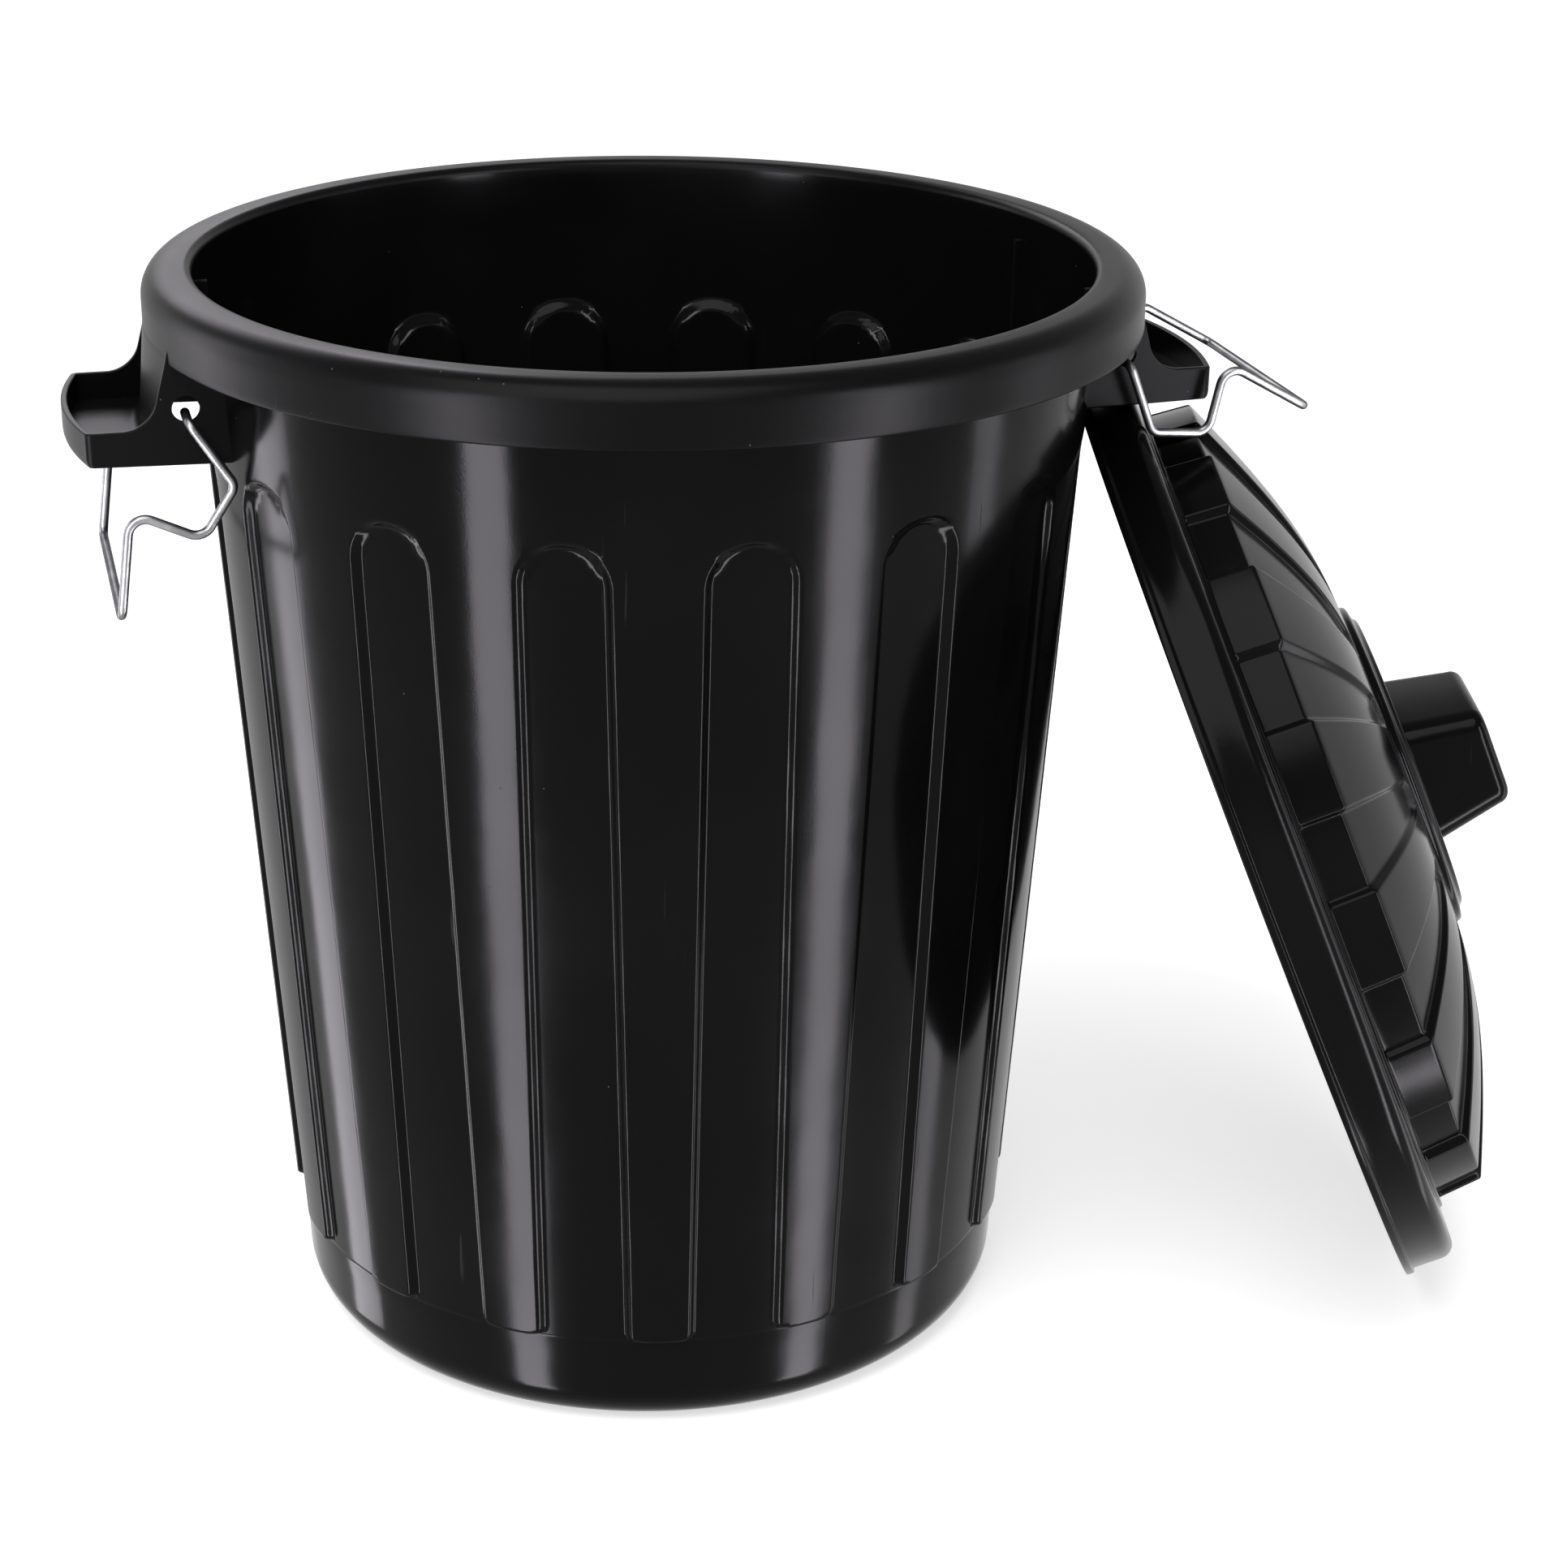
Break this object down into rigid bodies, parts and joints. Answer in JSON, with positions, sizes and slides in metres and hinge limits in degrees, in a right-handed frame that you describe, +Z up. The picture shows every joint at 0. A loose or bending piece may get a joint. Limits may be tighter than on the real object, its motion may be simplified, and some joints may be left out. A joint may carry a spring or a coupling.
{
  "type": "refuse bin with lid",
  "caption": "Round ribbed plastic bin with moulded side handles, hinged wire bails and a domed lid with a box knob leaning on its side.",
  "frame": {"origin": "middle of the bin's flat underside, at floor height, on the bin's own axis", "axes": "+Z up along the bin's axis, +X through the two handles towards the side where the lid leans"},
  "size_m": [0.7542, 0.534, 0.557],
  "materials": {
    "black_plastic": "gloss",
    "zinc_wire": "satin"
  },
  "bodies": {
    "bin": {"can_body": "black_plastic"},
    "lid": {"lid": "black_plastic"},
    "left_bail": {"left_bail": "zinc_wire"},
    "right_bail": {"right_bail": "zinc_wire"}
  },
  "joints": [
    {"name": "left_bail_swing", "type": "hinge", "parent": "bin", "child": "left_bail", "pos_m": [-0.2315, 0, 0.50305], "axis": [0, 1, 0], "range_deg": [-3.5, 144]},
    {"name": "right_bail_swing", "type": "hinge", "parent": "bin", "child": "right_bail", "pos_m": [0.2315, 0, 0.50305], "axis": [0, -1, 0], "range_deg": [0, 91]},
    {"name": "lid_draw_aside", "type": "slide", "parent": "bin", "child": "lid", "axis": [-0.2588, -0.9659, 0], "range_m": [0, 0.3]}
  ]
}
